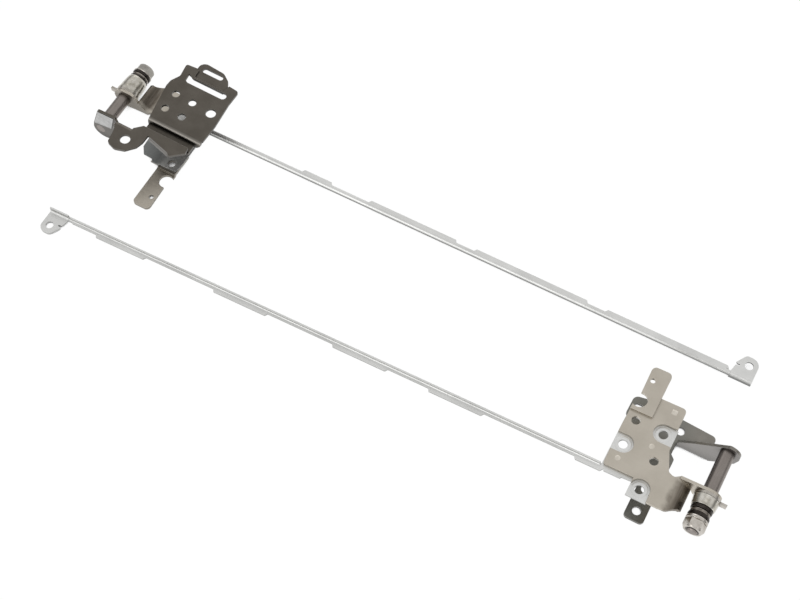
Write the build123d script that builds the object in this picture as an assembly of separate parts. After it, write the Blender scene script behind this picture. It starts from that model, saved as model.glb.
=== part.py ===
from build123d import *
import math
import os

# Each hinge is drawn in its own flat frame, in mm: y runs across the support rail towards
# the lid tab, and z is the depth below the outer face of the leaf being drawn. Along x the
# brackets, the rail's plate and the shaft pieces are drawn from the pivot, and the rest of
# the rail from the centre of its end hole. The two leaves are then closed on the pivot, and
# the pair is laid out as two hinges pointing opposite ways on a table.

SHEET = 1.0                # lid and base bracket sheet
RAIL_SHEET = 0.6           # support rail sheet
PIVOT_X = 241.5            # end hole to pivot axis
PIVOT_LID = 4.9            # lid tab's outer face to pivot axis
PIVOT_BASE = 12.3          # base plate's outer face to pivot axis
LEAN_DEG = 3.4             # how far each leaf rests past parallel
TAB_STEP = 0.8             # lid plate set in from the tab
# End hole of each hinge on the table before the pair is centred
LAYOUT = {"left": (114.2, 32.2), "right": (-122.2, -32.8)}

SHAFT_R = 2.45
SHAFT_CLEAR = 0.05
TENON_R = 1.8
TENON_CLEAR = 0.02
THREAD_R = 1.8
SLEEVE_R = 4.05
RING_R = 3.5
NUT_AF = 6.2
EAR_R = 4.2
STACK_GAP = 0.04           # free play either side of the lid ear

PLATE_LOW = TAB_STEP
PLATE_HIGH = TAB_STEP + SHEET
RAIL_LOW = PLATE_HIGH
RAIL_HIGH = PLATE_HIGH + RAIL_SHEET
RAIL_EDGE = 5.65           # straight long edge of the rail
RAIL_NARROW = 1.6
RAIL_WIDE = 2.6
RAIL_BEND = 0.5            # inner radius of the rail's bends
BRACKET_BEND = 0.7         # inner radius of the brackets' bends
RAIL_LEG = 1.5             # height of the rail's bent leg
RAIL_END = PIVOT_X - 26.3

SCREW_R = 1.45
PAD_R = 3.3

LEFT = {
    "shift": -3.7,                      # lid ear and curl against those of the right hinge
    "plate_top": 25.8,
    "ear": (7.9, 8.9),
    "arm": (24.2, 25.2),
    "head": (23.2, 24.2),
    "rail_top": [(-16.3, 19.0), (-16.5, 22.0), (-18.4, 24.7), (-21.9, 24.9), (-22.9, 26.1), (-32.5, 25.9)],
    "screwed": (-29.9, 14.5),            # pad hole that takes the lid's screw
    "rail_holes": [(-19.3, 2.8), (-29.5, 23.4), (-19, 13.1)],
    "stack": {"stop": 0.9, "sleeve": 6.9, "rings": (0.95, 0.95, 0.95), "washer": 0.6, "nut": 2.8},
    "wide": [(6.3, 49.8), (57.7, 99.6), (107.8, 141.3), (157.6, 168.5)],
}
RIGHT = {
    "shift": 0.0,
    "plate_top": 34.0,
    "ear": (11.6, 12.6),
    "arm": (27.8, 28.8),
    "head": (27.8, 28.8),
    "rail_top": [(-16.2, 26.3), (-32.8, 26.3)],
    "screwed": (-20, 23.1),
    "rail_holes": [(-19.3, 2.8), (-29.9, 14.5), (-29.5, 23.4), (-19, 13.1)],
    "stack": {"stop": 0.9, "sleeve": 3.4, "rings": (1.3, 1.3, 1.3), "washer": 1.2, "nut": 3.1},
    "wide": [(17.7, 37.4), (66.3, 86.6), (112.9, 132.5), (148.7, 167.5), (200.4, 208.8)],
}


def outline(corners):
    """Closed face from (x, y) or (x, y, radius) corners."""
    n = len(corners)
    ends = []
    for i in range(n):
        p = Vector(corners[i][0], corners[i][1])
        r = corners[i][2] if len(corners[i]) > 2 else 0
        if r == 0:
            ends.append((p, None, p))
            continue
        a = Vector(*corners[i - 1][:2]) - p
        b = Vector(*corners[(i + 1) % n][:2]) - p
        half = math.radians(a.get_angle(b)) / 2
        back = r / math.tan(half)
        middle = (a.normalized() + b.normalized()).normalized()
        top = p + middle * (r / math.sin(half) - r)
        ends.append((p + a.normalized() * back, top, p + b.normalized() * back))
    edges = []
    for i in range(n):
        start, top, end = ends[i]
        if top is not None:
            edges.append(ThreePointArc(start, top, end))
        following = ends[(i + 1) % n][0]
        if (following - end).length > 1e-6:
            edges.append(Line(end, following))
    return make_face(Wire(edges))


def sheet(corners, low, high):
    """Flat sheet between two depths."""
    return Pos(0, 0, low) * extrude(outline(corners), amount=high - low)


def wall(corners, y_low, y_high):
    """Upright sheet across y, its corners given as (x, z)."""
    return Pos(0, y_high, 0) * Rot(90, 0, 0) * extrude(outline(corners), amount=y_high - y_low)


def angle_strip(x0, x1, y_flat, y_edge, high_side, leg, thick, inner):
    """Strip along x bent at y_edge: flat from y_flat at depth high_side, then a leg to depth leg."""
    way = 1 if y_edge > y_flat else -1
    down = 1 if leg > high_side else -1
    outer = inner + thick
    face = high_side
    back = high_side + down * thick
    ym = y_edge - way * outer
    zm = face + down * outer
    c = math.sqrt(0.5)
    section = make_face(Wire([
        Line((y_flat, face), (ym, face)),
        ThreePointArc((ym, face), (ym + way * outer * c, zm - down * outer * c), (y_edge, zm)),
        Line((y_edge, zm), (y_edge, leg)),
        Line((y_edge, leg), (y_edge - way * thick, leg)),
        Line((y_edge - way * thick, leg), (y_edge - way * thick, zm)),
        ThreePointArc((y_edge - way * thick, zm), (ym + way * inner * c, zm - down * inner * c), (ym, back)),
        Line((ym, back), (y_flat, back)),
        Line((y_flat, back), (y_flat, face)),
    ]))
    return Pos(x0, 0, 0) * extrude(Plane.YZ * section, amount=x1 - x0)


def block(x0, x1, y0, y1, z0, z1):
    return Pos((x0 + x1) / 2, (y0 + y1) / 2, (z0 + z1) / 2) * Box(x1 - x0, y1 - y0, z1 - z0)


def drill(x, y, r, low=-20, high=40):
    return Pos(x, y, (low + high) / 2) * Cylinder(r, high - low)


def punch(x, y, r):
    """Small plain hole with 24 sides."""
    return Pos(x, y, -20) * extrude(RegularPolygon(r, 24, major_radius=False), amount=60)


def slot(x0, x1, y, r, low=-20, high=40):
    """Round-ended slot between two end centres along x."""
    body = block(x0, x1, y - r, y + r, low, high)
    return body + drill(x0, y, r, low, high) + drill(x1, y, r, low, high)


def disc(r, y0, y1, z, x=0):
    """Cylinder on a line parallel to y."""
    return Pos(x, (y0 + y1) / 2, z) * Rot(90, 0, 0) * Cylinder(r, y1 - y0)


def bore(r, y0, y1, z):
    """Twelve-sided bore that a hidden shaft passes through."""
    prism = extrude(RegularPolygon(r, 12, major_radius=False), amount=y1 - y0)
    return Pos(0, y1, z) * Rot(90, 0, 0) * prism


def lid_bracket(h):
    d = h["shift"]
    top = h["plate_top"]
    ear_low, ear_high = h["ear"]
    tab = sheet([(-32.8, 26.3), (-25.3, 26.3), (-25.3, 43.2, 1.6), (-32.1, 43.2, 1.6), (-31.8, 31.9, 0.8),
                 (-32.8, 31.0)], 0, SHEET)
    notch = drill(-31.3, 30.2, 2.6)
    plate = sheet([(-32.8, 26.9), (-33, 17.0), (-32.7, 5.4, 0.8), (-22.5, 5.4), (-22.5, 2.0), (-15.9, 2.0),
                   (-15.9, -0.5 + d), (-12, -0.6 + d), (-12, 11.3 + d), (-13.5, 11.9 + d, 1.0), (-16.1, 18.5, 2),
                   (-16.5, 22.0), (-16.6, top, 1.4), (-25.5, top), (-25.5, 26.9)], PLATE_LOW, PLATE_HIGH)
    pads = drill(-19.3, 2.8, PAD_R) + block(-22.6, -16, -6, 2.8, -1, 6)
    pads += drill(-29.9, 14.5, PAD_R) + block(-41.5, -29.9, 14.5 - PAD_R, 14.5 + PAD_R, -1, 6)
    pads += drill(-20, 23.1, PAD_R) + block(-20, -11.5, 23.1 - PAD_R, 23.1 + PAD_R, -1, 6)
    holes = punch(-29.5, 23.4, SCREW_R) + punch(-19, 13.1, SCREW_R)
    plate = plate - pads - holes
    curl_outer = [(-12, 0.8), (-8.04, 2.04), (-5.5, 5.3)]
    curl_inner = [(-6.44, 5.66), (-8.61, 2.86), (-12, 1.8)]
    section = make_face(Wire([
        ThreePointArc(*curl_outer),
        Line(curl_outer[2], curl_inner[0]),
        ThreePointArc(*curl_inner),
        Line(curl_inner[2], curl_outer[0]),
    ]))
    length = ear_high + 6 - d
    curl = Pos(0, ear_high, 0) * Rot(90, 0, 0) * extrude(section, amount=length)
    plan = sheet([(-12.5, -0.6 + d), (-9.7, -0.3 + d, 2), (-6.3, 3.2 + d, 2), (-1.5, 3.4 + d), (-1.5, ear_high + 1),
                  (-9.5, ear_high + 1), (-9.6, ear_high - 0.01), (-11.2, ear_high - 1.3), (-12.5, ear_high - 1.3)],
                 -1, 12)
    curl = curl & plan
    z = PIVOT_LID
    profile = [(-9.6, 0.9), (0, z - EAR_R), (0, z + EAR_R), (-4.3, 8.9, 2.6), (-6, 4.9),
               (-7.9, 3.0), (-9.6, 1.7)]
    ear = wall(profile, ear_low, ear_high)
    ear += disc(EAR_R, ear_low, ear_high, z)
    ear -= disc(SHAFT_R + SHAFT_CLEAR, ear_low - 1, ear_high + 1, z)
    part = tab - drill(-30.2, 38.2, 0.85) - notch + (plate - notch) + curl + ear
    return Pos(PIVOT_X, 0, 0) * part


def rail(h):
    edge = RAIL_EDGE
    mid = edge - RAIL_NARROW
    low = edge - RAIL_WIDE
    leg_low = RAIL_HIGH - RAIL_LEG
    tab = sheet([(-3.0, 4.2), (-3.0, 0.3), (-3.1, -3.3, 3.0), (2.0, -3.3, 1.6), (4.3, 0.4), (3.9, 0.9), (2.9, 0.9),
                 (2.9, 1.4), (4.2, 1.5), (4.8, 4.2)], RAIL_LOW, RAIL_HIGH)
    tab += angle_strip(-3.0, 4.8, 4.1, edge, RAIL_HIGH, 0.02, RAIL_SHEET, RAIL_BEND + 0.3)
    web = sheet([(6.0, mid + 0.4), (7.0, mid), (RAIL_END, mid), (RAIL_END, mid + 0.4)], RAIL_LOW, RAIL_HIGH)
    for x0, x1 in h["wide"]:
        web += sheet([(x0 - 0.7, mid + 0.2), (x0 - 0.7, mid), (x0, low), (x1, low), (x1 + 0.7, mid),
                      (x1 + 0.7, mid + 0.2)], RAIL_LOW, RAIL_HIGH)
    strip = angle_strip(4.7, PIVOT_X - 33.5, mid + 0.3, edge, RAIL_HIGH, leg_low, RAIL_SHEET, RAIL_BEND)
    foot = sheet([(-31.9, 4.4), (-31.7, low + 0.5), (-26.1, low + 0.5), (-25.7, 4.4)], RAIL_LOW, RAIL_HIGH)
    plate = sheet([(-34.5, edge), (-34.5, mid), (-26.2, mid), (-22.6, mid + 0.2), (-22.6, -0.6), (-15.8, -0.8),
                   (-15.7, 6), (-16.3, 10)] + h["rail_top"] + [(-33.1, 22.8), (-33.1, edge)], RAIL_LOW, RAIL_HIGH)
    plate += foot
    plate -= drill(*h["screwed"], SCREW_R + 0.05)
    for x, y in h["rail_holes"]:
        plate -= punch(x, y, SCREW_R + 0.05)
    return (tab - drill(0, 0, SCREW_R)) + web + strip + Pos(PIVOT_X, 0, 0) * plate


def fold(h, x0, x1, depth):
    """Bend from the flange down into the arm's wall."""
    low, high = h["arm"]
    return angle_strip(x0, x1, high + 1.5, low, 0, depth, SHEET, BRACKET_BEND)


def head(h, corners):
    """End of the base arm, given as (x, z), with the hole for the shaft's tenon."""
    low, high = h["head"]
    return wall(corners, low, high) - disc(TENON_R + TENON_CLEAR, low - 1, high + 1, PIVOT_BASE)


def left_base(h):
    t = SHEET
    low, high = h["arm"]
    front = 18.5
    plate = sheet([(-39.5, front - 1.7), (-39.8, 9.0, 4), (-39.1, -1.2, 2), (-39.3, -7.6, 1.0), (-35.2, -8.0),
                   (-34.1, -4.4), (-22.7, -4.4), (-21.6, -8.9), (-16.9, -8.5, 0.8), (-17.6, -3.0, 1.5),
                   (-15.8, 0.4, 1.5), (-15.6, 3.0, 1.5), (-17.6, 15.8), (-17.7, front - 1.7)], 0, t)
    lip = angle_strip(-39.3, -17.8, front - 2.0, front, 0, 3.2, t, BRACKET_BEND)
    lip -= wall([(-40, 0.6), (-37.5, 3.5), (-40, 3.5)], front - 3, front + 1)
    strap = sheet([(-34.5, -4.3), (-34.6, -8.0), (-33.5, -9.9, 1.5), (-30.5, -12.0, 2), (-20.8, -12.7, 2.6),
                   (-21.3, -6.5), (-22.5, -4.3)], 0.5, 0.5 + t)
    ledge = block(-34.3, -22.5, -5.3, -4.3, 0, 0.5 + t) + block(-22.3, -21.3, -8.4, -4.3, 0, 0.5 + t)
    window = slot(-35.3, -21.7, -3.2, 1.4) + sheet([(-24.5, -2.0), (-20.2, -2.3), (-19.9, -5.3), (-23.7, -4.2)], -1, 9)
    loop = slot(-30.3, -24.1, -9.8, 1.05)
    # flange: its back edge looks across a gap at the front lip, its front edge is turned down on a slant
    slant = math.degrees(math.atan2(2.5, 9.4))
    flange = sheet([(-36.5, 21.6), (-18.3, 21.6), (-15.6, 24.3), (-15.6, high + 1.0), (-9.3, high + 1.0),
                    (-10.3, 29.0), (-11, 33.6, 1.5), (-14.5, 34.8, 2), (-18.1, 33.6), (-20.9, 30.4), (-21.7, 27.7),
                    (-21.8, 24.4), (-31.3, 26.9), (-32.5, 27.9), (-36.9, 24.0)], 0, t)
    down = angle_strip(-4.6, 4.6, -2.2, 0.6, 0, 3.0, t, BRACKET_BEND)
    down = Pos(-26.8, 25.2, 0) * Rot(0, 0, -slant) * down
    channel = block(-36.9, -18.3, front - t, 22.6, 2.2, 3.2) + block(-36.3, -18.3, 21.6, 22.6, 0.5, 3.2)
    step = sheet([(-9.2, low), (-7.6, h["head"][0]), (-7.6, h["head"][1]), (-9.2, high)], 0.6, 3.4)
    corners = [(-7.8, 0.2), (-0.3, 1.0), (2.5, 9.8), (3.7, 16.5, 3.9), (-5.1, 16.5, 3.9), (-5.8, 8.5),
               (-7.1, 3.4), (-7.8, 3.4)]
    part = plate + strap + ledge - window - loop
    part += lip + flange + down + channel
    part += fold(h, -15.6, -9, 3.4) + step + head(h, corners)
    for x, y in ((-27.6, 11.7), (-20.6, 11.5), (-27.6, 4.7), (-20.6, 4.4)):
        part -= punch(x, y, SCREW_R)
    part -= punch(-35.6, 5.2, 1.85)
    part -= drill(-15.7, 29.6, 1.85, -1, 3)
    return Pos(PIVOT_X, 0, 0) * part


def right_base(h):
    t = SHEET
    low, high = h["arm"]
    plate = sheet([(-20.9, -2.0, 1.4), (-14.1, -2.0, 1.4), (-14.2, 9.0), (-15.2, 12.0), (-15.2, 18.6),
                   (-14, 19.6, 1), (-14, 23.0, 1), (-15.5, 24.4), (-15.5, high + 1.0), (-4.6, high + 1.0),
                   (-4.7, 36.6, 1.6), (-17.5, 37.3, 1), (-20.5, 35.4), (-27.5, 35.4), (-28.6, 38.9, 2),
                   (-34.2, 37.8, 2), (-34.3, 31.0, 1), (-32.5, 28.6, 1), (-27.5, 27.8), (-27.5, 12.6),
                   (-20.9, 9.0)], 0, t)
    loop = slot(-31.9, -30.7, 34.6, 1.1)
    corners = [(-15.5, 2.0), (-4.6, 2.0), (-4.6, 0.9), (-2.3, 2.9), (3.1, 7.2, 2.2), (4.1, 10.8),
               (4.1, 16.4, 4.05), (-0.1, 16.4), (-6.2, 11.6, 3), (-10.2, 8.6), (-14.3, 5.0), (-15.5, 3.6)]
    part = plate + fold(h, -15.5, -4.6, 3.0) + head(h, corners) - loop
    part -= drill(-17.6, 1.5, SCREW_R)
    part -= drill(-16, 33.2, SCREW_R)
    part -= punch(-18, 9.5, SCREW_R)
    return Pos(PIVOT_X, 0, 0) * part


def stack(h, z):
    """Shaft and the pieces threaded on it, in order from the lid ear outwards."""
    ear_low, ear_high = h["ear"]
    sizes = h["stack"]
    pieces = {}
    y = ear_low - STACK_GAP
    stop = disc(4.3, y - sizes["stop"], y, z)
    stop += Pos(5.0, y - sizes["stop"] / 2, z) * Box(2.8, sizes["stop"], 1.8)
    pieces["stop_washer"] = stop - bore(THREAD_R + 0.3, y - 5, y + 5, z)
    shoulder = y - sizes["stop"]
    y = shoulder
    pieces["sleeve"] = disc(SLEEVE_R, y - sizes["sleeve"], y, z) - bore(THREAD_R + 0.3, y - 20, y + 5, z)
    y -= sizes["sleeve"]
    for i, depth in enumerate(sizes["rings"]):
        r = RING_R - (0.25 if i == 1 else 0)
        pieces["spring_ring_%d" % (i + 1)] = disc(r, y - depth, y, z) - bore(THREAD_R + 0.3, y - 5, y + 5, z)
        y -= depth
    pieces["flat_washer"] = disc(RING_R + 0.1, y - sizes["washer"], y, z) - bore(THREAD_R + 0.2, y - 5, y + 5, z)
    y -= sizes["washer"]
    hexagon = extrude(RegularPolygon(NUT_AF / 2, 6, major_radius=False), amount=sizes["nut"])
    nut = Pos(0, y, z) * Rot(90, 0, 0) * hexagon
    cone = Pos(0, y - sizes["nut"] / 2, z) * Rot(90, 0, 0) * Cone(5.0, 2.95, sizes["nut"])
    pieces["nut"] = (nut & cone) - disc(THREAD_R, y - 10, y + 5, z)
    y -= sizes["nut"]
    head_low, head_high = h["head"]
    shaft = disc(SHAFT_R, ear_low - STACK_GAP, head_low, z)
    shaft += disc(TENON_R, head_low - 1, head_high, z)
    shaft += disc(THREAD_R, y - 0.5, ear_low, z)
    tip = [e for e in shaft.edges().filter_by(GeomType.CIRCLE) if e.center().Y < y - 0.4]
    pieces["shaft"] = chamfer(tip, 0.4)
    return {k: Pos(PIVOT_X, 0, 0) * v for k, v in pieces.items()}


def flip(part):
    """Turn a leaf over so that it faces the other one."""
    turned = mirror(part, about=Plane.XY)
    return Pos(0, 0, PIVOT_LID + PIVOT_BASE) * turned


def close(part, z):
    """Swing a leaf on the pivot from parallel to where it rests."""
    return Pos(PIVOT_X, 0, z) * Rot(0, -LEAN_DEG, 0) * Pos(-PIVOT_X, 0, -z) * part


def hinge(side, h, base):
    lid_leaf = {"lid_bracket": lid_bracket(h), "rail": rail(h)}
    base_leaf = {"base_bracket": base(h)}
    base_leaf.update(stack(h, PIVOT_BASE))
    x, y = LAYOUT[side]
    if side == "left":
        base_leaf = {k: close(flip(v), PIVOT_LID) for k, v in base_leaf.items()}
        place = Pos(x, y, 0) * Rot(0, 0, 180)
    else:
        lid_leaf = {k: close(flip(v), PIVOT_BASE) for k, v in lid_leaf.items()}
        place = Pos(x, y, 0)
    return {side + "_" + k: place * v for k, v in {**lid_leaf, **base_leaf}.items()}


nodes = {}
nodes.update(hinge("left", LEFT, left_base))
nodes.update(hinge("right", RIGHT, right_base))

boxes = [v.bounding_box() for v in nodes.values()]
low = Vector(min(b.min.X for b in boxes), min(b.min.Y for b in boxes), min(b.min.Z for b in boxes))
high = Vector(max(b.max.X for b in boxes), max(b.max.Y for b in boxes), 0)
centre = Pos(-(low.X + high.X) / 2, -(low.Y + high.Y) / 2, -low.Z)

os.makedirs("parts", exist_ok=True)
for name, shape in nodes.items():
    shape = centre * shape
    box = shape.bounding_box()
    print("%-24s solids %d valid %s  %7.2f %7.2f %7.2f  %7.2f %7.2f %7.2f" % (
        name, len(shape.solids()), shape.is_valid, box.min.X, box.min.Y, box.min.Z, box.max.X, box.max.Y, box.max.Z))
    export_step(shape, "parts/%s.step" % name)
print("row centre shift", centre.position)
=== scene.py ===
import math

import bmesh
import bpy
from mathutils import Matrix, Vector, noise


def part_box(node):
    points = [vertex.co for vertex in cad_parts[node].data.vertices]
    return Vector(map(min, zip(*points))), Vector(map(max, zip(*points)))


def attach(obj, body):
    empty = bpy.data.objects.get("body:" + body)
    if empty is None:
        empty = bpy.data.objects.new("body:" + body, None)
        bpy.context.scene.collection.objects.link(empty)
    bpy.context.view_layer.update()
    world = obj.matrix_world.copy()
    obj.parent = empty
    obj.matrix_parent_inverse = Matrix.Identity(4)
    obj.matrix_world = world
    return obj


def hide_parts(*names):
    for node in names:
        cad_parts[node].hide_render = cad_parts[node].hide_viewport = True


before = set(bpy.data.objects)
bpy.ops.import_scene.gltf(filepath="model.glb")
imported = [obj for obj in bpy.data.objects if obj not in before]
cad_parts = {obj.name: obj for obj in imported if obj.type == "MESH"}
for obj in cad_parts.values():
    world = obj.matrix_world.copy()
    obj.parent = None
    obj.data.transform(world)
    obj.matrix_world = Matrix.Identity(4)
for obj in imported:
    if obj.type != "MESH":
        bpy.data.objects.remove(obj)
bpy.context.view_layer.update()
print("model loaded:", len(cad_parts), "pieces")

mm = 0.001  # Blender works in metres


def linearColour(hexValue):
    # sRGB hex to the linear values that the shader wants
    parts = [int(hexValue[i:i + 2], 16) / 255 for i in (1, 3, 5)]
    return [c / 12.92 if c <= 0.04045 else ((c + 0.055) / 1.055) ** 2.4 for c in parts] + [1.0]


def addNode(tree, kind, values=None, **settings):
    # one node: its properties by name, its sockets by number or name. A socket as value is a
    # link, and a node as value is a link from its first output.
    node = tree.nodes.new(kind)
    for key, value in settings.items():
        setattr(node, key, value)
    for key, value in (values or {}).items():
        if isinstance(value, bpy.types.Node):
            value = value.outputs[0]
        if isinstance(value, bpy.types.NodeSocket):
            tree.links.new(value, node.inputs[key])
        else:
            node.inputs[key].default_value = value
    return node


def newMaterial(name):
    material = bpy.data.materials.new(name)
    material.use_nodes = True
    material.node_tree.nodes.clear()
    return material, material.node_tree


def pivotOf(side):
    # the two pivots run along Y: their x and z in metres, read from the shafts
    low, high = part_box(side + "_shaft")
    return ((low[0] + high[0]) / 2, (low[2] + high[2]) / 2)


pivots = {side: pivotOf(side) for side in ("left", "right")}
# Middle of each lid ear in y, next to the stop washer.
halfEar = 0.5 * mm
earY = {"left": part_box("left_stop_washer")[0][1] - halfEar,
        "right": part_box("right_stop_washer")[1][1] + halfEar}

# One entry for each finish. Colours are the metal's own, as it looks in plain light.
# cloudMm: size of the slow changes of tone. grainMm: spacing of the rolling or turning marks,
# drawn coarser than the real ones so that they show. edgeMm: radius of the broken edges.
# The reach of the painted shade in corners: how near another surface has to be before a corner
# darkens.
finishes = {
    # cold-rolled steel with warm nickel plating: soft satin, a brown film on the curl, partly oil,
    # partly painted shade
    "satinNickelPlatedSteel": {
        "colour": "#c4bdb1", "dark": "#bbb4a8", "edge": "#dcd7cd", "cornerShade": "#5c554c",
        "roughness": 0.36, "cloudMm": 9.0, "grainMm": 0.35, "bump": 0.02, "edgeMm": 0.16,
        "edgeWearAndSheen": 0.55, "cornerShadeMm": 1.2, "cornerShadeAmount": 0.4,
        "oil": {"colour": "#594f44", "fromMm": 11.1, "toMm": 8.0, "amount": 0.85}},
    # the same sheet, pressed up at the weld spots: paler
    "coinedNickelPlatedSteel": {
        "colour": "#dfd9ce", "dark": "#cfc8bc", "edge": "#e8e3da", "cornerShade": "#8c8478",
        "roughness": 0.34, "cloudMm": 2.0, "grainMm": 0.35, "bump": 0.02, "edgeMm": 0.1,
        "edgeWearAndSheen": 0.2, "cornerShadeMm": 0.3, "cornerShadeAmount": 0.1},
    # zinc-plated rail steel: whiter, a little duller, with painted shade on the walls of the bends
    "zincPlatedSteel": {
        "colour": "#e2e2e0", "dark": "#d6d6d4", "edge": "#e8e8e6", "cornerShade": "#8d9092",
        "roughness": 0.42, "cloudMm": 14.0, "grainMm": 0.4, "bump": 0.0, "edgeMm": 0.1,
        "edgeWearAndSheen": 0.1, "cornerShadeMm": 1.2, "cornerShadeAmount": 0.12, "shearedAndShaded": "#b0b0ae"},
    # black nickel over steel: brown-grey satin, edges paler by wear and painted highlight, bends
    # painted bright
    "blackNickelPlatedSteel": {
        "colour": "#67625b", "dark": "#5d5851", "edge": "#918d87", "cornerShade": "#15130f",
        "roughness": 0.32, "cloudMm": 7.0, "grainMm": 0.35, "bump": 0.02, "edgeMm": 0.24,
        "edgeWearAndSheen": 0.5, "cornerShadeMm": 5.5, "cornerShadeAmount": 0.95, "shearedAndShaded": "#676460",
        "bendHighlight": "#8a8680"},
    # the same plating in a lighter copy for the right hinge, painted light, and painted shade
    # away from the arm. thick: the painted shade goes from none to full between these two x, in
    # metres
    "thinBlackNickelPlatedSteel": {
        "colour": "#918d86", "dark": "#86827b", "edge": "#c2bfbb", "cornerShade": "#1a1815",
        "roughness": 0.32, "cloudMm": 7.0, "grainMm": 0.35, "bump": 0.02, "edgeMm": 0.2,
        "edgeWearAndSheen": 0.6, "cornerShadeMm": 10.0, "cornerShadeAmount": 0.7, "shearedAndShaded": "#918e8b",
        "thick": {"colour": "#82817b", "fromX": 0.1135, "toX": 0.1075}},
    # turned and ground shaft, oiled: a soft highlight along it, painted shade down one flank
    "groundShaftSteel": {
        "colour": "#918a85", "dark": "#8a837e", "edge": "#d0ccc8", "cornerShade": "#2a2724",
        "roughness": 0.34, "cloudMm": 5.0, "grainMm": 0.3, "bump": 0.0, "edgeMm": 0.1,
        "edgeWearAndSheen": 0.1, "cornerShadeMm": 1.6, "cornerShadeAmount": 0.8, "shadedFlank": "#544e4b"},
    # stamped stop washer, bright and greased
    "brightWasherSteel": {
        "colour": "#c3beb7", "dark": "#a8a299", "edge": "#e0ddd8", "cornerShade": "#5e574c",
        "roughness": 0.26, "cloudMm": 2.0, "grainMm": 0.3, "bump": 0.03, "edgeMm": 0.16,
        "edgeWearAndSheen": 0.6, "cornerShadeMm": 1.2, "cornerShadeAmount": 0.6},
    # hardened sleeve under a film of pale grease: mottled and wet
    "greasedSleeveSteel": {
        "colour": "#dad6ce", "dark": "#aea99d", "edge": "#e6e3dc", "cornerShade": "#5a5448",
        "roughness": 0.24, "cloudMm": 2.2, "grainMm": 0.9, "bump": 0.06, "edgeMm": 0.2,
        "edgeWearAndSheen": 0.5, "cornerShadeMm": 1.0, "cornerShadeAmount": 0.6, "coat": 0.6},
    # blackened spring steel, its rims brighter by wear and painted highlight
    "blackenedSpringSteel": {
        "colour": "#4a4541", "dark": "#302c2a", "edge": "#a8a29c", "cornerShade": "#0e0d0c",
        "roughness": 0.26, "cloudMm": 2.0, "grainMm": 0.3, "bump": 0.03, "edgeMm": 0.15,
        "edgeWearAndSheen": 0.4, "cornerShadeMm": 0.8, "cornerShadeAmount": 0.9},
    # oiled spring steel, where the black is worn away
    "wornSpringSteel": {
        "colour": "#9a938b", "dark": "#6f6963", "edge": "#c9c4bd", "cornerShade": "#1b1917",
        "roughness": 0.26, "cloudMm": 2.0, "grainMm": 0.3, "bump": 0.03, "edgeMm": 0.15,
        "edgeWearAndSheen": 0.4, "cornerShadeMm": 0.8, "cornerShadeAmount": 0.9},
    # bright zinc-plated fastener, with painted shade in the thread
    "brightZincSteel": {
        "colour": "#cdc8c1", "dark": "#b0aaa2", "edge": "#e8e5e1", "cornerShade": "#38342f",
        "roughness": 0.2, "cloudMm": 2.5, "grainMm": 0.3, "bump": 0.02, "edgeMm": 0.16,
        "edgeWearAndSheen": 0.6, "cornerShadeMm": 0.8, "cornerShadeAmount": 0.8,
        "threadShade": {"colour": "#34302c", "rMm": 1.98, "halfMm": 0.45}},
    # the pad on the end of the arm: matt steel, its pale colour a painted reflection
    "groundPadSteel": {
        "colour": "#c2c2c1", "dark": "#aeaead", "edge": "#dcdcdb", "cornerShade": "#6a6a69",
        "roughness": 0.42, "cloudMm": 1.8, "grainMm": 0.4, "bump": 0.08, "edgeMm": 0.12,
        "edgeWearAndSheen": 0.6, "cornerShadeMm": 0.5, "cornerShadeAmount": 0.4},
}

# Under the left base plate little light comes in, so corners darken from further away.
underBase = {"cornerShadeMm": 18.0, "cornerShadeAmount": 0.75, "openFrom": 0.82, "openTo": 0.42}
# A painted shade patch on the left rail's plate, at a place in metres.
paintedShadePatch = {"colour": "#6d706f", "place": (-0.1035, 0.0045, 0.0024), "fromMm": 7.0, "toMm": 3.0}
finishes.update({
    # the left lid bracket: the same warm nickel, with painted shade in its corners
    "shadedNickelPlatedSteel": {
        **finishes["satinNickelPlatedSteel"], **underBase, "cornerShade": "#4a4640"},
    # the left rail: the same zinc, with painted shade in its corners and a painted shade patch
    # where the leaves meet
    "oiledZincPlatedSteel": {
        **finishes["zincPlatedSteel"], **underBase, "cornerShade": "#474847", "shadePatch": paintedShadePatch},
    # the left sleeve: a darker, greyer copy of the same grease
    "dullGreasedSleeveSteel": {
        **finishes["greasedSleeveSteel"], "colour": "#cdc9c0", "dark": "#9f9a8e"},
    # the left nut: a darker copy of the same zinc
    "dullZincSteel": {**finishes["brightZincSteel"], "colour": "#b3b0aa", "dark": "#93908a"},
})

# How the patterns of all the metals are drawn. cloud and grain: detail of the noise, and the
# two values that it fades between. The grain is drawn out along X. edge: how far the rounded
# normal has turned where the wear and painted highlight start and where they are full. open:
# the same for how open a corner is, for the painted shade in corners.
pattern = {
    "cloudDetail": 4.0, "cloudRoughness": 0.6, "cloudLow": 0.35, "cloudHigh": 0.65,
    "grainStretch": (0.05, 1.0, 1.0), "grainDetail": 2.0, "grainLow": 0.3, "grainHigh": 0.7,
    "grainSmoother": 0.03, "grainRougher": 0.05, "grainDepthMm": 0.2,
    "edgeSamples": 6, "edgeFrom": 0.99, "edgeTo": 0.8,
    "openSamples": 8, "openFrom": 0.85, "openTo": 0.35, "coatRoughness": 0.08,
}
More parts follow.
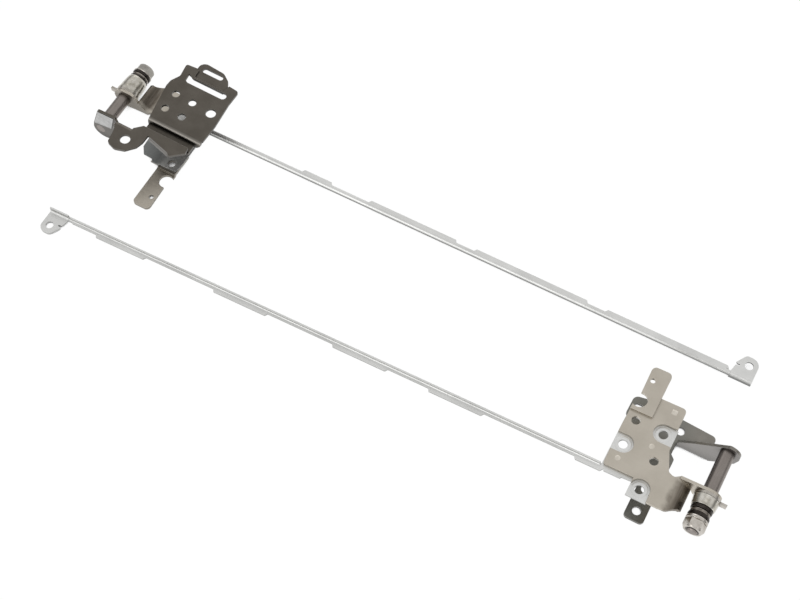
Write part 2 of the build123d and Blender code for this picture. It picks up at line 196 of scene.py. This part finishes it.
# Where each covering begins and is full. The thin plating and painted shade on walls, the painted
# shade down one flank and the painted highlight on bends go by the way that the piece's own
# surface faces: its Z, its X, and its Y times its Z. The oil and shade film, the painted shade of
# the thread and the painted shade patch go by distance. wanderMm: how far the border strays, in
# spots of spotMm. streakMm: width of the streaks, drawn out along Y. ear: how far from the ear's
# middle the film begins and is whole.
covering = {
    "shearedAndShaded": {"from": 0.45, "to": 0.2},
    "shadedFlank": {"from": -0.45, "to": -0.8},
    "bendHighlight": {"from": -0.1, "to": -0.45, "amount": 0.8},
    "oil": {"spotMm": 2.381, "detail": 3.0, "wanderMm": -2.5, "streakMm": 1.111,
            "streakStretch": (1.0, 0.15, 1.0), "streakDetail": 2.0, "streakLow": 0.35,
            "streakHigh": 0.65, "thinnest": 0.7, "earFromMm": 0.6, "earToMm": 1.6},
    "threadShade": {"core": 0.4, "amount": 0.9},
    "shadePatch": {"spotMm": 3.333, "detail": 3.0, "wanderMm": -3.0, "amount": 0.85},
}


def fromPivot(tree, place, pivot):
    # distance from the pivot line, in metres
    apart = addNode(tree, "ShaderNodeSeparateXYZ", {0: place})
    flat = addNode(tree, "ShaderNodeCombineXYZ", {"X": apart.outputs["X"], "Z": apart.outputs["Z"]})
    return addNode(tree, "ShaderNodeVectorMath", {0: flat, 1: (pivot[0], 0.0, pivot[1])},
                   operation="DISTANCE").outputs["Value"]


def oilAndShadeFilm(tree, place, oil, pivot, earMiddle):
    # brown film on the curl, partly oil and partly painted shade, in streaks along the bend, none
    # on the ear
    how = covering["oil"]
    wander = addNode(tree, "ShaderNodeTexNoise",
                     {"Vector": place, "Scale": 1 / (how["spotMm"] * mm),
                      "Detail": how["detail"]})
    away = addNode(tree, "ShaderNodeMath",
                   {0: wander, 1: how["wanderMm"] * mm, 2: fromPivot(tree, place, pivot)},
                   operation="MULTIPLY_ADD")
    shadeFilm = addNode(tree, "ShaderNodeMapRange",
                   {"Value": away, "From Min": oil["fromMm"] * mm, "From Max": oil["toMm"] * mm,
                    "To Max": oil["amount"]}, interpolation_type="SMOOTHSTEP")
    along = addNode(tree, "ShaderNodeMapping", {"Vector": place, "Scale": how["streakStretch"]})
    streaks = addNode(tree, "ShaderNodeTexNoise",
                      {"Vector": along, "Scale": 1 / (how["streakMm"] * mm),
                       "Detail": how["streakDetail"]})
    patchy = addNode(tree, "ShaderNodeMapRange",
                     {"Value": streaks, "From Min": how["streakLow"], "From Max": how["streakHigh"],
                      "To Min": how["thinnest"]})
    apart = addNode(tree, "ShaderNodeSeparateXYZ", {0: place})
    fromEar = addNode(tree, "ShaderNodeMath", {0: apart.outputs["Y"], 1: earMiddle},
                      operation="SUBTRACT")
    earGap = addNode(tree, "ShaderNodeMath", {0: fromEar}, operation="ABSOLUTE")
    offEar = addNode(tree, "ShaderNodeMapRange",
                     {"Value": earGap, "From Min": how["earFromMm"] * mm,
                      "From Max": how["earToMm"] * mm})
    onBend = addNode(tree, "ShaderNodeMath", {0: patchy, 1: offEar}, operation="MULTIPLY")
    return addNode(tree, "ShaderNodeMath", {0: shadeFilm, 1: onBend}, operation="MULTIPLY")


def coverings(tree, look, ownSpace, pivot, earMiddle):
    # what lies over the plain metal of this finish: how much, and its colour
    place = ownSpace.outputs["Object"]
    facing = addNode(tree, "ShaderNodeSeparateXYZ", {0: ownSpace.outputs["Normal"]})
    layers = []
    if "thick" in look:
        # painted shade: darker away from the arm
        across = addNode(tree, "ShaderNodeSeparateXYZ", {0: place})
        thick = addNode(tree, "ShaderNodeMapRange",
                        {"Value": across.outputs["X"], "From Min": look["thick"]["fromX"],
                         "From Max": look["thick"]["toX"]})
        layers.append((thick, look["thick"]["colour"]))
    if "shearedAndShaded" in look:
        # walls and cut edges: thin plating on the cut edges, and painted shade on the walls
        how = covering["shearedAndShaded"]
        upright = addNode(tree, "ShaderNodeMath", {0: facing.outputs["Z"]}, operation="ABSOLUTE")
        cutAndShaded = addNode(tree, "ShaderNodeMapRange",
                      {"Value": upright, "From Min": how["from"], "From Max": how["to"]})
        layers.append((cutAndShaded, look["shearedAndShaded"]))
    if "shadedFlank" in look:
        # painted shade down the side that faces -X
        how = covering["shadedFlank"]
        shadedFlank = addNode(tree, "ShaderNodeMapRange",
                        {"Value": facing.outputs["X"], "From Min": how["from"],
                         "From Max": how["to"]}, interpolation_type="SMOOTHSTEP")
        layers.append((shadedFlank, look["shadedFlank"]))
    if "bendHighlight" in look:
        # painted highlight on bends that face up and to the front
        how = covering["bendHighlight"]
        slope = addNode(tree, "ShaderNodeMath",
                        {0: facing.outputs["Y"], 1: facing.outputs["Z"]}, operation="MULTIPLY")
        paintedBendHighlight = addNode(tree, "ShaderNodeMapRange",
                         {"Value": slope, "From Min": how["from"], "From Max": how["to"],
                          "To Max": how["amount"]})
        layers.append((paintedBendHighlight, look["bendHighlight"]))
    if "oil" in look:
        layers.append((oilAndShadeFilm(tree, place, look["oil"], pivot, earMiddle), look["oil"]["colour"]))
    if "threadShade" in look:
        # painted shade: the dark ring of the thread round the shaft's end
        how = covering["threadShade"]
        off = addNode(tree, "ShaderNodeMath",
                      {0: fromPivot(tree, place, pivot), 1: look["threadShade"]["rMm"] * mm},
                      operation="SUBTRACT")
        offBy = addNode(tree, "ShaderNodeMath", {0: off}, operation="ABSOLUTE")
        half = look["threadShade"]["halfMm"] * mm
        ring = addNode(tree, "ShaderNodeMapRange",
                       {"Value": offBy, "From Min": half, "From Max": half * how["core"],
                        "To Max": how["amount"]})
        layers.append((ring, look["threadShade"]["colour"]))
    if "shadePatch" in look:
        # painted shade: a dark patch, its border uneven
        how = covering["shadePatch"]
        wander = addNode(tree, "ShaderNodeTexNoise",
                         {"Vector": place, "Scale": 1 / (how["spotMm"] * mm),
                          "Detail": how["detail"]})
        apart = addNode(tree, "ShaderNodeVectorMath", {0: place, 1: look["shadePatch"]["place"]},
                        operation="DISTANCE")
        reach = addNode(tree, "ShaderNodeMath",
                        {0: wander, 1: how["wanderMm"] * mm, 2: apart.outputs["Value"]},
                        operation="MULTIPLY_ADD")
        patchShade = addNode(tree, "ShaderNodeMapRange",
                        {"Value": reach, "From Min": look["shadePatch"]["fromMm"] * mm,
                         "From Max": look["shadePatch"]["toMm"] * mm, "To Max": how["amount"]},
                        interpolation_type="SMOOTHSTEP")
        layers.append((patchShade, look["shadePatch"]["colour"]))
    return layers


def metalMaterial(name, look, pivot, earMiddle):
    material, tree = newMaterial(name)
    ownSpace = addNode(tree, "ShaderNodeTexCoord")
    place = ownSpace.outputs["Object"]
    # slow clouds between the two tones of the metal
    clouds = addNode(tree, "ShaderNodeTexNoise",
                     {"Vector": place, "Scale": 1 / (look["cloudMm"] * mm),
                      "Detail": pattern["cloudDetail"], "Roughness": pattern["cloudRoughness"]})
    cloudy = addNode(tree, "ShaderNodeMapRange",
                     {"Value": clouds, "From Min": pattern["cloudLow"],
                      "From Max": pattern["cloudHigh"]})
    layers = [(cloudy, look["colour"])] + coverings(tree, look, ownSpace, pivot, earMiddle)
    # broken edges, brighter by wear and painted highlight
    plain = addNode(tree, "ShaderNodeNewGeometry")
    rounded = addNode(tree, "ShaderNodeBevel", {"Radius": look["edgeMm"] * mm},
                      samples=pattern["edgeSamples"])
    alike = addNode(tree, "ShaderNodeVectorMath", {0: rounded, 1: plain.outputs["Normal"]},
                    operation="DOT_PRODUCT")
    wornAndSheen = addNode(tree, "ShaderNodeMapRange",
                   {"Value": alike.outputs["Value"], "From Min": pattern["edgeFrom"],
                    "From Max": pattern["edgeTo"], "To Max": look["edgeWearAndSheen"]})
    layers.append((wornAndSheen, look["edge"]))
    # painted shade in the corners
    openness = addNode(tree, "ShaderNodeAmbientOcclusion", {"Distance": look["cornerShadeMm"] * mm},
                       samples=pattern["openSamples"])
    paintedCornerShade = addNode(tree, "ShaderNodeMapRange",
                   {"Value": openness.outputs["AO"],
                    "From Min": look.get("openFrom", pattern["openFrom"]),
                    "From Max": look.get("openTo", pattern["openTo"]),
                    "To Max": look["cornerShadeAmount"]})
    layers.append((paintedCornerShade, look["cornerShade"]))
    tone = linearColour(look["dark"])
    for amount, colour in layers:
        tone = addNode(tree, "ShaderNodeMix", {0: amount, 6: tone, 7: linearColour(colour)},
                       data_type="RGBA").outputs[2]
    # rolling or turning marks, in the gloss and as fine relief
    stretch = addNode(tree, "ShaderNodeMapping",
                      {"Vector": place, "Scale": pattern["grainStretch"]})
    grain = addNode(tree, "ShaderNodeTexNoise",
                    {"Vector": stretch, "Scale": 1 / (look["grainMm"] * mm),
                     "Detail": pattern["grainDetail"]})
    rough = addNode(tree, "ShaderNodeMapRange",
                    {"Value": grain, "From Min": pattern["grainLow"],
                     "From Max": pattern["grainHigh"],
                     "To Min": look["roughness"] - pattern["grainSmoother"],
                     "To Max": look["roughness"] + pattern["grainRougher"]})
    bump = addNode(tree, "ShaderNodeBump",
                   {"Height": grain, "Strength": look["bump"],
                    "Distance": pattern["grainDepthMm"] * mm, "Normal": rounded})
    shader = addNode(tree, "ShaderNodeBsdfPrincipled",
                     {"Base Color": tone, "Metallic": 1.0, "Roughness": rough, "Normal": bump})
    if "coat" in look:
        shader.inputs["Coat Weight"].default_value = look["coat"]
        shader.inputs["Coat Roughness"].default_value = pattern["coatRoughness"]
    addNode(tree, "ShaderNodeOutputMaterial", {"Surface": shader})
    return material


made = {}  # each material is made once, and kept here by its name


def finishFor(side, finish):
    # a finish that goes by the pivot is made once for each hinge
    look = finishes[finish]
    byPivot = "oil" in look or "threadShade" in look
    name = side + finish[0].upper() + finish[1:] if byPivot else finish
    if name not in made:
        made[name] = metalMaterial(name, look, pivots[side], earY[side])
    return made[name]


finishOf = {
    "lid_bracket": "satinNickelPlatedSteel",
    "rail": "zincPlatedSteel",
    "base_bracket": "blackNickelPlatedSteel",
    "shaft": "groundShaftSteel",
    "stop_washer": "brightWasherSteel",
    "sleeve": "greasedSleeveSteel",
    "spring_ring_1": "blackenedSpringSteel",
    "spring_ring_2": "wornSpringSteel",
    "spring_ring_3": "blackenedSpringSteel",
    "flat_washer": "brightZincSteel",
    "nut": "brightZincSteel",
}
# Pieces whose finish is not their twin's.
ownFinishOf = {
    "left_lid_bracket": "shadedNickelPlatedSteel",
    "left_rail": "oiledZincPlatedSteel",
    "left_sleeve": "dullGreasedSleeveSteel",
    "left_nut": "dullZincSteel",
    "right_base_bracket": "thinBlackNickelPlatedSteel",
}


def finishOn(side, part):
    return finishFor(side, ownFinishOf.get(side + "_" + part, finishOf[part]))


for side in ("left", "right"):
    for part in finishOf:
        for materialSlot in bpy.data.objects[side + "_" + part].material_slots:
            materialSlot.material = finishOn(side, part)
print("finishes given to the pieces:", len(made))

sharpDeg = 35  # folds steeper than this stay crisp


def newPiece(name, mesh, material, body):
    # smooth, with its own edges kept, and carried by one body
    mesh.shade_smooth()
    mesh.set_sharp_from_angle(angle=math.radians(sharpDeg))
    piece = bpy.data.objects.new(name, mesh)
    bpy.context.collection.objects.link(piece)
    mesh.materials.append(material)
    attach(piece, body)
    return piece


def joinRings(form, pairs):
    # a band of faces between each two rings of the same number of points
    for inner, outer in pairs:
        for step in range(len(inner)):
            following = (step + 1) % len(inner)
            form.faces.new((inner[step], inner[following], outer[following], outer[step]))


def turned(side, node, profile, grease=None, steps=72):
    # a turned piece on the pivot: profile of (radius in mm, share of the way out from the ear)
    low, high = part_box(side + "_" + node)
    start, end = (low[1], high[1]) if side == "left" else (high[1], low[1])
    mesh = bpy.data.meshes.new(side + "_" + node + "_turned")
    form = bmesh.new()
    rings = []
    for radius, share in profile:
        y = start + (end - start) * share
        ring = []
        for step in range(steps):
            angle = 2 * math.pi * step / steps
            x, z = math.cos(angle), math.sin(angle)
            grow = 0.0
            if grease and radius > grease["outsideMm"]:
                grow = grease["depthMm"] * noise.noise(Vector((
                    x * grease["round"], y * grease["perMetre"], z * grease["round"] + radius)))
            r = (radius + grow) * mm
            ring.append(form.verts.new((pivots[side][0] + r * x, y, pivots[side][1] + r * z)))
        rings.append(ring)
    joinRings(form, zip(rings, rings[1:] + rings[:1]))
    bmesh.ops.recalc_face_normals(form, faces=form.faces)
    form.to_mesh(mesh)
    form.free()
    return mesh


stackBody = {"left": "left_base_leaf", "right": "stand"}
boreMm = 2.12
# Sleeve: a small rim against the stop washer, then a slight taper. The grease makes it uneven
# outside one radius. round and perMetre: how often its lumps come round it and along it.
sleeveForm = {
    "profile": [(boreMm, 0.0), (4.1, 0.0), (4.28, 0.04), (4.3, 0.12), (4.18, 0.2), (4.14, 0.4),
                (4.05, 0.6), (3.95, 0.8), (3.86, 0.92), (3.66, 1.0), (boreMm, 1.0)],
    "grease": {"depthMm": 0.07, "outsideMm": 3.0, "round": 2.2, "perMetre": 900.0},
}
# Springs and flat washer: a rounded rim each, so that each one catches its own light.
# rim: (how far inside the radius in mm, share of the thickness).
ringForm = {
    "radiusMm": {"spring_ring_1": 3.55, "spring_ring_2": 3.3, "spring_ring_3": 3.55,
                 "flat_washer": 3.62},
    "rim": [(0.3, 0.0), (0.1, 0.1), (0.0, 0.3), (0.0, 0.7), (0.1, 0.9), (0.3, 1.0)],
    "slot": {"flat_washer": "nut_steel"},
}
for side in ("left", "right"):
    sleeve = newPiece(side + "_sleeve_greased",
                      turned(side, "sleeve", sleeveForm["profile"], sleeveForm["grease"]),
                      finishOn(side, "sleeve"), stackBody[side])
    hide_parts(side + "_sleeve")
    for node, radius in ringForm["radiusMm"].items():
        rim = [(radius - inside, share) for inside, share in ringForm["rim"]]
        ring = newPiece(side + "_" + node + "_rounded",
                        turned(side, node, [(boreMm, 0.0)] + rim + [(boreMm, 1.0)]),
                        finishOn(side, node), stackBody[side])
        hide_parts(side + "_" + node)
print("stack pieces turned")

# Pad on the end of the left arm, above the shaft, pale as a painted reflection.
# Corners (x, z) and sizes in mm.
reflectionPad = {"corners": [(-122.15, 15.95), (-115.5, 15.85), (-117.75, 8.7), (-125.25, 7.75)],
             "face": 3.72, "thick": 0.3, "border": 1.0, "sunk": 0.06, "edge": 0.12,
             "edgeSteps": 3, "edgeRound": 0.5, "bevelFromRad": 0.6}
padForm = bmesh.new()
outerFace, innerFace = [
    [padForm.verts.new((x * mm, y * mm, z * mm)) for x, z in reflectionPad["corners"]]
    for y in (reflectionPad["face"] - reflectionPad["thick"], reflectionPad["face"])]
front = padForm.faces.new(outerFace)
padForm.faces.new(innerFace[::-1])
joinRings(padForm, [(innerFace, outerFace)])
bmesh.ops.recalc_face_normals(padForm, faces=padForm.faces)
bmesh.ops.inset_region(padForm, faces=[front], thickness=reflectionPad["border"] * mm,
                       depth=-reflectionPad["sunk"] * mm)
steep = [e for e in padForm.edges if e.calc_face_angle(0) > reflectionPad["bevelFromRad"]]
bmesh.ops.bevel(padForm, geom=steep, affect="EDGES", offset=reflectionPad["edge"] * mm,
                segments=reflectionPad["edgeSteps"], profile=reflectionPad["edgeRound"])
padMesh = bpy.data.meshes.new("left_arm_reflection_pad")
padForm.to_mesh(padMesh)
padForm.free()
newPiece("left_arm_reflection_pad", padMesh, finishFor("left", "groundPadSteel"), "left_base_leaf")

# Where the right lid leaf lies: it leans on its pivot, and its outer face is above it.
lidLeaf = {"leanDeg": 3.4, "abovePivotMm": 4.9, "endYMm": -37.094}


def onRightLid(across, along, below):
    # across: from the pivot along the leaf, along: in y, below: depth under the outer face, in mm
    lean = math.radians(lidLeaf["leanDeg"])
    up = lidLeaf["abovePivotMm"] - below
    x = across * math.cos(lean) - up * math.sin(lean)
    z = across * math.sin(lean) + up * math.cos(lean)
    return Vector((pivots["right"][0] + x * mm, (along + lidLeaf["endYMm"]) * mm,
                   pivots["right"][1] + z * mm))


def raisedForms(name, forms, material, steps=40):
    # low round forms on the right lid leaf, each drawn towards a square by a share
    form = bmesh.new()
    for across, along, square in forms["places"]:
        rounds = []
        for radius, height in forms["profile"]:
            ring = []
            for step in range(steps):
                angle = 2 * math.pi * step / steps
                c, s = math.cos(angle), math.sin(angle)
                reach = radius * (1 + square * (1 / max(abs(c), abs(s)) - 1))
                ring.append(form.verts.new(onRightLid(
                    across + reach * c, along + reach * s, forms["below"] - height)))
            rounds.append(ring)
        joinRings(form, zip(rounds, rounds[1:]))
        if forms["closed"]:
            form.faces.new(rounds[0])
    bmesh.ops.recalc_face_normals(form, faces=form.faces)
    mesh = bpy.data.meshes.new(name)
    form.to_mesh(mesh)
    form.free()
    newPiece(name, mesh, material, "right_lid_leaf")


# Three weld spots, low domes on the plate. Places (across, along, squareness) and profile
# (radius, height), in mm.
weldSpots = {"places": [(-19.8, 31.4, 0.8), (-21.6, 17.4, 0.0), (-29.4, 9.0, 0.0)],
             "profile": [(0.3, 0.13), (0.5, 0.12), (0.7, 0.09), (0.85, 0.04), (0.95, -0.02)],
             "below": 0.8, "closed": True}
raisedForms("right_weld_spots", weldSpots, finishFor("right", "coinedNickelPlatedSteel"))
# Coined rims round the holes of the three silver pads.
padRims = {"places": [(-19.3, 2.8, 0.0), (-29.9, 14.5, 0.0), (-20.0, 23.1, 0.0)],
           "profile": [(1.56, -0.02), (1.6, 0.06), (1.8, 0.1), (2.3, 0.1), (2.6, 0.05),
                       (2.8, -0.02)],
           "below": 1.8, "closed": False}
raisedForms("right_pad_rims", padRims, finishFor("right", "zincPlatedSteel"))
print("small pressed forms made")

# The camera's place in metres, and the view's own right, up and back.
camera = {
    "place": (0.11060, -0.20432, 0.41863),
    "right": (0.87949, 0.47591, 0.00348),
    "up": (-0.41997, 0.77263, 0.47610),
    "back": (0.22389, -0.42018, 0.87939),
    "lensMm": 62.71, "sensorMm": 36.0, "nearest": 0.01, "furthest": 20.0,
}
cameraData = bpy.data.cameras.new("studioCamera")
cameraData.lens = camera["lensMm"]
cameraData.sensor_width = camera["sensorMm"]
cameraData.sensor_fit = "HORIZONTAL"
cameraData.clip_start = camera["nearest"]
cameraData.clip_end = camera["furthest"]
cameraObject = bpy.data.objects.new("studioCamera", cameraData)
bpy.context.collection.objects.link(cameraObject)
view = Matrix((camera["right"], camera["up"], camera["back"])).transposed().normalized()
cameraObject.matrix_world = Matrix.Translation(camera["place"]) @ view.to_4x4()
bpy.context.scene.camera = cameraObject
print("camera placed")

white = (1, 1, 1, 1)
# Pale floor: white to the camera and in reflections, with a matt part that keeps the shadow.
# Close under a piece it turns grey, so that the holes show shade. size in metres.
stage = {"size": 8.0, "glow": 0.985, "colour": "#3c3c3c", "shadeMm": 3.6, "shadeSamples": 12,
         "shadeFrom": 0.25, "shadeTo": 0.38, "shadeLow": 0.1}
floorMaterial, floorTree = newMaterial("paleStudioFloor")
rays = addNode(floorTree, "ShaderNodeLightPath")
direct = addNode(floorTree, "ShaderNodeMath", {0: rays.outputs["Is Camera Ray"],
                                               1: rays.outputs["Is Glossy Ray"]},
                 operation="MAXIMUM")
seen = addNode(floorTree, "ShaderNodeMath", {0: direct, 1: rays.outputs["Is Transmission Ray"]},
               operation="MAXIMUM")
underneath = addNode(floorTree, "ShaderNodeAmbientOcclusion", {"Distance": stage["shadeMm"] * mm},
                     samples=stage["shadeSamples"])
shade = addNode(floorTree, "ShaderNodeMapRange",
                {"Value": underneath.outputs["AO"], "From Min": stage["shadeFrom"],
                 "From Max": stage["shadeTo"], "To Min": stage["shadeLow"],
                 "To Max": stage["glow"]})
glow = addNode(floorTree, "ShaderNodeMath", {0: seen, 1: shade}, operation="MULTIPLY")
lit = addNode(floorTree, "ShaderNodeEmission", {"Color": white, "Strength": glow})
matt = addNode(floorTree, "ShaderNodeBsdfDiffuse", {"Color": linearColour(stage["colour"])})
both = addNode(floorTree, "ShaderNodeAddShader", {0: lit, 1: matt})
addNode(floorTree, "ShaderNodeOutputMaterial", {"Surface": both})
bpy.ops.mesh.primitive_plane_add(size=stage["size"], location=(0, 0, 0))
floor = bpy.context.object
floor.name = "studioFloor"
floor.data.materials.append(floorMaterial)

# The room: white near the horizon in front and behind, greyer overhead, with dark screens low
# at both sides, which give the round pieces their dark bands. The camera sees it all white, and
# it lights matt surfaces less.
room = {"low": 1.0, "high": 0.7, "lowDeg": 25.0, "highDeg": 75.0, "matt": 0.6, "seen": 1.0,
        "screenDark": 0.75, "screenFrom": 0.55, "screenTo": 0.9, "screenTopDeg": 40.0,
        "screenFullDeg": 12.0}
world = bpy.data.worlds.new("studioWorld")
bpy.context.scene.world = world
world.use_nodes = True
worldTree = world.node_tree
worldTree.nodes.clear()
direction = addNode(worldTree, "ShaderNodeTexCoord")
way = addNode(worldTree, "ShaderNodeSeparateXYZ", {0: direction.outputs["Generated"]})
rise = addNode(worldTree, "ShaderNodeMapRange",
               {"Value": way.outputs["Z"], "From Min": math.sin(math.radians(room["lowDeg"])),
                "From Max": math.sin(math.radians(room["highDeg"])), "To Min": room["low"],
                "To Max": room["high"]})
sideways = addNode(worldTree, "ShaderNodeMath", {0: way.outputs["X"]}, operation="ABSOLUTE")
toSide = addNode(worldTree, "ShaderNodeMapRange",
                 {"Value": sideways, "From Min": room["screenFrom"],
                  "From Max": room["screenTo"], "To Max": room["screenDark"]},
                 interpolation_type="SMOOTHSTEP")
lowDown = addNode(worldTree, "ShaderNodeMapRange",
                  {"Value": way.outputs["Z"],
                   "From Min": math.sin(math.radians(room["screenTopDeg"])),
                   "From Max": math.sin(math.radians(room["screenFullDeg"]))},
                  interpolation_type="SMOOTHSTEP")
screen = addNode(worldTree, "ShaderNodeMath", {0: toSide, 1: lowDown}, operation="MULTIPLY")
screened = addNode(worldTree, "ShaderNodeMath", {0: 1.0, 1: screen}, operation="SUBTRACT")
seenRoom = addNode(worldTree, "ShaderNodeMath", {0: rise, 1: screened}, operation="MULTIPLY")
roomRays = addNode(worldTree, "ShaderNodeLightPath")
forMatt = addNode(worldTree, "ShaderNodeMix", {0: roomRays.outputs["Is Diffuse Ray"], 2: seenRoom,
                                               3: room["matt"]}, data_type="FLOAT")
forCamera = addNode(worldTree, "ShaderNodeMix", {0: roomRays.outputs["Is Camera Ray"], 2: forMatt,
                                                 3: room["seen"]}, data_type="FLOAT")
roomGlow = addNode(worldTree, "ShaderNodeBackground", {"Color": white, "Strength": forCamera})
addNode(worldTree, "ShaderNodeOutputWorld", {"Surface": roomGlow})

# Soft boxes: place and size in metres, and watts. Each one faces the middle of the pair.
lamps = {
    "overheadSoftBox": {"place": (0.12, 0.12, 0.9), "size": 0.4, "watts": 0.17},
    "frontSoftBox": {"place": (-0.25, -0.9, 0.45), "size": 0.6, "watts": 1.4},
    "backSoftBox": {"place": (-0.5, 0.9, 0.5), "size": 0.6, "watts": 0.6},
}
for name, lamp in lamps.items():
    data = bpy.data.lights.new(name, "AREA")
    data.shape = "SQUARE"
    data.size = lamp["size"]
    data.energy = lamp["watts"]
    light = bpy.data.objects.new(name, data)
    bpy.context.collection.objects.link(light)
    light.location = lamp["place"]
    light.rotation_euler = (-Vector(lamp["place"])).to_track_quat("-Z", "Y").to_euler()
print("stage and lights placed")

bpy.context.scene.view_settings.view_transform = "Standard"
